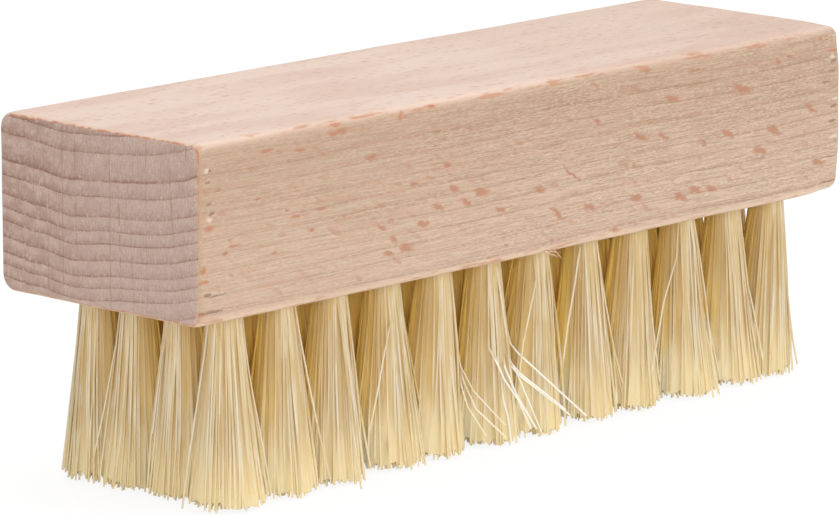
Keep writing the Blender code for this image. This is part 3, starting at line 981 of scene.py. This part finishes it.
# Single fibres that are bent away from their tuft, from where they leave it to the tip: (row, column)
BENT_FIBRES = {
    (1, 6): (
        ((-2.2, -14.0, 15.2), (-2.5, -15.0, 12.8), (-2.6, -16.5, 11.8), (5.4, -21.0, 3.0)),
        ((-3.1, -14.5, 12.5), (-3.0, -15.3, 10.3), (-2.6, -16.8, 8.9), (3.4, -20.0, 3.3)),
        ((-2.7, -14.5, 12.6), (-2.8, -15.3, 10.5), (-2.3, -16.8, 9.0), (2.6, -20.0, 4.1)),
        ((-2.9, -14.5, 12.4), (-2.8, -15.5, 10.5), (-2.7, -16.5, 9.0), (-1.5, -19.5, 1.9)),
        ((-6.7, -15.2, 13.0), (-6.1, -16.0, 11.1), (-5.8, -17.0, 9.1), (-4.3, -20.5, 3.9)),
        ((-5.5, -15.2, 11.9), (-5.2, -16.4, 8.9), (-4.3, -18.0, 6.3), (-4.0, -20.0, 2.8)),
        ((-3.6, -14.8, 11.9), (-4.3, -15.8, 10.1), (-4.0, -17.5, 6.8), (-2.4, -19.5, 2.4)),
        ((-4.4, -15.0, 9.7), (-5.2, -16.4, 6.1), (-5.2, -17.2, 3.9), (-5.5, -18.0, 1.1)),
    ),
    (1, 5): (
        ((-11.8, -14.5, 13.4), (-11.9, -15.2, 11.4), (-11.4, -17.0, 8.4), (-8.8, -20.0, 4.1)),
        ((-11.6, -14.5, 13.1), (-11.8, -15.5, 9.7), (-11.5, -17.5, 6.2), (-8.6, -20.0, 2.4)),
        ((-11.5, -14.6, 11.8), (-12.2, -15.6, 9.0), (-12.1, -16.6, 6.5), (-11.2, -19.0, 2.9)),
    ),
    (3, 1): (((-52.4, 4.4, 19.7), (-53.2, 4.5, 16.5), (-54.5, 5.0, 9.8), (-56.0, 5.6, 3.4)),),
    (2, 1): (((-52.4, -3.9, 20.3), (-53.0, -3.9, 18.2), (-54.2, -4.1, 13.1), (-55.0, -4.1, 8.4)),),
    (4, 1): (((-52.0, 12.4, 16.5), (-52.8, 12.2, 13.2), (-53.4, 12.2, 9.8), (-54.5, 12.7, 1.0)),),
    (1, 12): (((55.4, -12.0, 11.9), (56.0, -12.2, 7.2), (56.4, -12.5, 3.4), (56.8, -13.0, 0.1)),),
    (1, 10): (
        ((34.7, -13.6, 17.6), (35.1, -15.0, 10.9), (35.7, -16.0, 5.4), (36.1, -17.0, 0.0)),
        ((34.5, -13.6, 17.6), (34.8, -15.0, 10.9), (35.4, -16.0, 5.5), (35.8, -17.0, 0.3)),
        ((30.5, -14.2, 18.9), (26.6, -15.5, 13.9), (23.8, -16.8, 9.3), (21.4, -18.0, 5.6)),
    ),
    (1, 11): (((44.2, -13.6, 17.8), (44.1, -14.6, 14.0), (44.4, -15.4, 10.8), (44.9, -17.0, 3.3)),),
    (1, 8): (
        ((15.8, -13.6, 20.4), (16.0, -14.6, 15.5), (16.3, -15.8, 9.7), (15.8, -17.0, 2.2)),
        ((11.6, -14.2, 23.0), (9.5, -15.2, 18.6), (6.9, -16.4, 13.9), (4.0, -18.0, 8.4)),
    ),
    (1, 7): (((3.3, -14.2, 20.1), (1.0, -15.2, 16.4), (-1.5, -16.4, 13.0), (-3.5, -17.6, 9.7)),),
    (1, 4): (((-23.3, -14.2, 19.3), (-25.6, -15.2, 15.8), (-28.3, -16.4, 10.7), (-31.6, -18.0, 5.8)),),
}
# The bent fibres of two tufts are painted nearly white, a painted highlight where they stand out in the
# light, so they have a tone well over 1
HIGHLIGHTED_TUFTS = {(1, 6): 1.40, (1, 5): 1.24}
BENT_TONE = 1.05
BENT_THICKNESS_SHARE = 0.86
# Added to a fibre's distance, so that one that is already bent isn't taken twice
OUT_OF_REACH = 9.0

# How a tuft's fibres are packed, and how they differ from each other. A pair in brackets is a range.
CLOSE_ROW_SHARE = 0.866
RIM_REACH = (0.87, 1.0)
TIP_SCATTER = 0.30 * MM
CROSSING_SHARE, CROSSING_SCATTER = 0.08, 1.0 * MM
STRAY_SHARE, STRAY_BY = 0.055, (0.3 * MM, 1.4 * MM)
SHORT_SHARE, SHORT_BY = 0.05, (0.5 * MM, 3.5 * MM)
TIP_UNEVEN, RIM_TIP_RISE = 0.26 * MM, 1.5 * MM
WAVE_DEPTH, SECOND_WAVE_DEPTH = 0.16 * MM, 0.07 * MM
LEG_HEIGHTS = (0.0, 0.27, 0.54, 0.79, 1.0)
THICKNESS_RANGE, FLATNESS_RANGE = (0.78, 1.10), (0.80, 1.15)
TIP_THICKNESS_SHARE = 0.86
TONE_MIDDLE, TONE_SCATTER = 0.50, 0.15
# Each tuft reads its streaks from another part of the noise, about this far away
ROOT_MARK_SHIFT = 9 * MM


def leg_lines(roots, fold_x, side, rng, lean, spread):
    """The two ends of folded fibres: from the tip, up to the wood and into the hole."""
    count = len(roots)
    share = np.linalg.norm(roots, axis=1) / ROOT_RADIUS
    tips = roots * (TIP_RADIUS * spread / ROOT_RADIUS)
    tips += rng.normal(0, TIP_SCATTER, tips.shape) + lean
    crossing = rng.random(count) < CROSSING_SHARE
    tips += rng.normal(0, CROSSING_SCATTER, tips.shape) * crossing[:, None]
    stray = rng.random(count) < STRAY_SHARE
    outward = roots / np.maximum(np.linalg.norm(roots, axis=1, keepdims=True), 0.2 * MM)
    tips += outward * (stray * rng.uniform(*STRAY_BY, count))[:, None]
    sideways = 0.30 + 0.70 * np.abs(outward[:, 0])
    tip_z = np.abs(rng.normal(0, TIP_UNEVEN, count))
    tip_z += RIM_TIP_RISE * share ** 3 * rng.uniform(0, 1.0, count) * sideways
    short = rng.random(count) < SHORT_SHARE
    tip_z += short * rng.uniform(*SHORT_BY, count)
    wave = rng.normal(0, WAVE_DEPTH, (count, 2))
    second = rng.normal(0, SECOND_WAVE_DEPTH, (count, 2))
    line = np.zeros((count, len(LEG_HEIGHTS) + 1, 3))
    for k, h in enumerate(LEG_HEIGHTS):
        line[:, k, :2] = roots + (tips - roots) * outline_share(h)
        line[:, k, :2] += wave * math.sin(math.pi * h) + second * math.sin(2 * math.pi * h)
        line[:, k, 2] = tip_z + (ROOT_Z - tip_z) * h
    line[:, -1, 0] = (roots[:, 0] + fold_x) / 2
    line[:, -1, 1] = side * np.maximum(np.abs(roots[:, 1]) * 0.92, 0.44 * MM)
    line[:, -1, 2] = FOLD_BASE_Z - 1.4 * MM
    return line


def fold_lines(front, fold_x):
    """The two rings of each fibre that lie over the anchor and join its two ends."""
    fold = np.zeros((len(front), 2, 3))
    fold[:, :, 0] = fold_x[:, None]
    fold[:, 0, 1] = -0.45 * np.maximum(np.abs(front[:, 1]), 0.5 * MM)
    fold[:, 1, 1] = -fold[:, 0, 1]
    rise = FOLD_BASE_Z + 0.15 * MM + FOLD_RISE * np.abs(front[:, 1]) / ROOT_RADIUS
    fold[:, :, 2] = rise[:, None]
    return fold


def packed_disc(radius, spacing, rng):
    """Places in the front half of a round bundle, packed as closely as round fibres lie."""
    places = []
    row_pitch = spacing * CLOSE_ROW_SHARE
    rows = int(radius / row_pitch) + 1
    for j in range(rows):
        y = (j + 0.5) * row_pitch
        shift = 0.5 * spacing * (j % 2)
        for i in range(-rows - 2, rows + 3):
            x = i * spacing + shift
            if math.hypot(x, y) < radius:
                places.append((x, -y))
    places = np.array(places)
    return places + rng.normal(0, spacing * 0.10, places.shape)


def bundle_roots(rng):
    """Where the two ends of each fibre leave the wood: in front of the anchor, and behind it."""
    front = packed_disc(ROOT_RADIUS - FIBRE_RADIUS * 0.5, FIBRE_SPACING, rng)
    turn = rng.uniform(0, math.pi, RIM_FIBRES)
    reach = ROOT_RADIUS * rng.uniform(*RIM_REACH, RIM_FIBRES)
    front = np.concatenate([front, np.stack([reach * np.cos(turn), -reach * np.sin(turn)], axis=1)])
    return front, front * np.array([1, -1]) + rng.normal(0, FIBRE_SPACING * 0.12, front.shape)


def bend_fibres(row, column, centre, legs, roots, tone):
    """Puts the fibres that the photograph shows bent in the place of those that stand nearest, and
    marks each one by a tone over 1. The legs and roots are those in front, and those behind."""
    for points in BENT_FIBRES.get((row, column), ()):
        points = np.array(points) * MM - (*centre, 0.0)
        behind = int(points[0, 1] > 0)
        rings = slice(-3, None) if behind else slice(0, 3)
        taken = (tone[:, rings] > 1).any(axis=1)
        k = np.argmin(np.linalg.norm(roots[behind] - points[0, :2], axis=1) + OUT_OF_REACH * taken)
        legs[behind][k, :4] = points[::-1]
        tone[k, rings] = HIGHLIGHTED_TUFTS.get((row, column), BENT_TONE)


def fibre_radii(tone, rng):
    """Half the width of each fibre at each ring, along both of its own axes."""
    count = len(tone)
    thick = rng.uniform(*THICKNESS_RANGE, (count, 1, 1)) * FIBRE_RADIUS
    flat = rng.uniform(*FLATNESS_RANGE, (count, 1, 1))
    radii = np.ones((count, FIBRE_RINGS, 2)) * thick
    radii[:, :, :1] *= flat
    radii[:, [0, -1]] *= TIP_THICKNESS_SHARE
    radii[tone > 1] *= BENT_THICKNESS_SHARE
    return radii


def make_tuft(fibre, core, row, column, centre, material):
    rng = np.random.default_rng(1000 * row + column)
    front, back = bundle_roots(rng)
    fold_x = (front[:, 0] + back[:, 0]) / 2
    lean = np.array(TUFT_LEANS.get((row, column), rng.normal(0, LEAN_SCATTER, 2))) * MM
    spread = TUFT_SPREADS.get((row, column), rng.uniform(*SPREAD_RANGE))
    first = leg_lines(front, fold_x, -1, rng, lean, spread)
    second = leg_lines(back, fold_x, 1, rng, lean, spread)
    tone = np.clip(rng.normal(TONE_MIDDLE, TONE_SCATTER, (len(front), 1)), 0, 1) * np.ones(FIBRE_RINGS)
    bend_fibres(row, column, centre, (first, second), (front, back), tone)
    lines = np.concatenate([first, fold_lines(front, fold_x), second[:, ::-1]], axis=1)
    lines[:, :, :2] += np.array(centre)
    radii = fibre_radii(tone, rng)

    # The fibres and the core inside them, as one mesh
    inside = core.fit(lean, spread, rng) + np.array((*centre, 0.0))
    places, facing = fibre.bend(lines, radii)
    count = len(places)
    places = np.concatenate([places, inside])
    facing = np.concatenate([facing, np.zeros((core.count, 3))])
    faces = [tuple(v + k * fibre.count for v in face)
             for k in range(len(lines)) for face in fibre.faces]
    faces += [tuple(v + count for v in face) for face in core.faces]

    # How each part of the tuft faces the others, which its shading and its painted shade and light follow
    opened = outline_share(np.clip(places[:, 2] / ROOT_Z, 0, 1))
    outlook = (places, facing, np.array(centre) + lean * opened[:, None], tuft_reach(spread, opened),
               outer_ways(row, column))
    shading = outward_shading(*outlook)
    shading[count:][core.middle] += (0, 0, -1)
    roots = np.repeat(front + rng.normal(0, ROOT_MARK_SHIFT, 2), fibre.count, axis=0)
    roots = np.concatenate([roots, core.plan * ROOT_RADIUS]) + np.array(centre)
    tones = np.concatenate([tone[:, fibre.ring].ravel(), np.full(core.count, CORE_TONE)])
    marks = {"fibre_tone": tones, "fibre_open": open_share(*outlook)}
    tuft_piece(f"tuft_row_{row}_col_{column:02d}", places, faces, shading, marks, roots, material)


def tuft_piece(node, places, faces, shading, marks, roots, material):
    name = "fibre_" + node
    mesh = bpy.data.meshes.new(name)
    mesh.from_pydata(places.tolist(), [], faces)
    mesh.update()
    for key, values in marks.items():
        mark = mesh.attributes.new(key, "FLOAT", "POINT")
        mark.data.foreach_set("value", values.astype(np.float32))
    mark = mesh.attributes.new("fibre_root", "FLOAT_VECTOR", "POINT")
    spots = np.concatenate([roots / MM, np.zeros((len(roots), 1))], axis=1)
    mark.data.foreach_set("vector", spots.astype(np.float32).ravel())
    mesh.materials.append(material)
    piece = add_object(name, mesh)
    take(piece)
    bpy.ops.object.shade_smooth()
    mesh.normals_split_custom_set_from_vertices(shading.tolist())
    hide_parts(node)
    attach(piece, "root")


def make_tufts(material):
    fibre, core = FibreShape(), CoreShape()
    for row, column, centre in hole_places():
        make_tuft(fibre, core, row, column, centre, material)


def make_anchors(material):
    """The flat steel anchors across the folds, one piece of 48."""
    deselect_all()
    bpy.ops.mesh.primitive_cube_add(size=1, location=(0, 0, ANCHOR_MIDDLE_Z))
    anchor = bpy.context.object
    anchor.scale = ANCHOR_SIZE
    settle(anchor)
    apply_modifier(anchor, "BEVEL", "Drawn_edges", width=ANCHOR_EDGE, segments=2)
    anchors = copy_to_holes(anchor, "anchor")
    anchors.name = "tuft_anchors"
    anchors.data.materials.append(material)
    bpy.ops.object.shade_smooth_by_angle(angle=ANCHOR_SMOOTH_ANGLE)
    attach(anchors, "root")


# The floor, the light and the camera. A panel has its place and side length in metres and its watts.
FLOOR_SIZE = 6.0
FLOOR_COLOUR = colour(0.96, 0.96, 0.96)
FLOOR_WHITE_SHARE = 0.84
WHITE = colour(1.0, 1.0, 1.0)
FLOOR_WHITE_STRENGTH = 1.04
WORLD_STRENGTH = 0.54
PANELS = (
    ("key_panel", (0.59, -0.91, 0.38), 0.50, 2.5),
    ("camera_side_panel", (-0.817, -0.775, 0.266), 0.50, 3.72),
    ("top_panel", (0.10, 0.05, 1.00), 0.80, 5.1),
)
DIFFUSE_BOUNCES = 6


def floor_finish():
    """A pale surface that the camera sees as nearly white, and that keeps a soft shadow."""
    f = Finish("white_floor")
    f.tree.nodes.remove(f.shader)
    pale = f.add("ShaderNodeBsdfDiffuse", {"Color": FLOOR_COLOUR})
    white = f.add("ShaderNodeEmission", {"Color": WHITE, "Strength": FLOOR_WHITE_STRENGTH})
    surface = f.either(f.times(f.seen(), FLOOR_WHITE_SHARE), pale, white)
    f.feed(f.tree.nodes["Material Output"].inputs["Surface"], surface)
    return f.material


def make_floor():
    deselect_all()
    bpy.ops.mesh.primitive_plane_add(size=FLOOR_SIZE, location=(0, 0, 0))
    floor = bpy.context.object
    floor.name = "studio_floor"
    floor.data.materials.append(floor_finish())


def make_world():
    """A dim even light, which the camera and reflections see as a pale backdrop."""
    world = bpy.data.worlds.new("studio")
    bpy.context.scene.world = world
    world.use_nodes = True
    nodes = Nodes(world.node_tree)
    dim = nodes.tree.nodes["Background"]
    nodes.feed(dim.inputs["Color"], WHITE)
    nodes.feed(dim.inputs["Strength"], WORLD_STRENGTH)
    pale = nodes.add("ShaderNodeBackground", {"Strength": 1.0})
    nodes.feed(nodes.tree.nodes["World Output"].inputs["Surface"], nodes.either(nodes.seen(), dim, pale))


def make_panels():
    """Soft square lights that face the brush."""
    for name, place, size, power in PANELS:
        light = bpy.data.lights.new(name, "AREA")
        light.shape = "SQUARE"
        light.size = size
        light.energy = power
        panel = add_object(name, light)
        panel.location = place
        aim = WOOD_MIDDLE - Vector(place)
        panel.rotation_euler = aim.to_track_quat("-Z", "Y").to_euler()


def make_camera():
    level = math.cos(CAMERA_ELEVATION)
    back = Vector((math.sin(CAMERA_AZIMUTH) * level, -math.cos(CAMERA_AZIMUTH) * level,
                   math.sin(CAMERA_ELEVATION)))
    right = (-back).cross(Vector((0, 0, 1))).normalized()
    up = right.cross(-back)
    roll_cos, roll_sin = math.cos(CAMERA_ROLL), math.sin(CAMERA_ROLL)
    right, up = roll_cos * right + roll_sin * up, roll_cos * up - roll_sin * right
    aim = WOOD_MIDDLE + right * AIM_RIGHT + up * AIM_UP
    camera = bpy.data.cameras.new("photo_camera")
    camera.sensor_fit = "HORIZONTAL"
    camera.sensor_width = 36.0
    camera.lens = CAMERA_LENS
    camera.clip_start, camera.clip_end = 0.05, 20.0
    holder = add_object("photo_camera", camera)
    turn = Matrix((right, up, back)).transposed().to_4x4()
    holder.matrix_world = Matrix.Translation(aim + back * CAMERA_DISTANCE) @ turn
    bpy.context.scene.camera = holder


bpy.context.scene.cycles.diffuse_bounces = DIFFUSE_BOUNCES
make_camera()
make_world()
make_panels()
make_floor()
beech = beech_finish()
make_block(beech)
make_splinters(beech)
make_tufts(fibre_finish())
make_anchors(anchor_finish())
bpy.context.scene.view_settings.view_transform = "Standard"
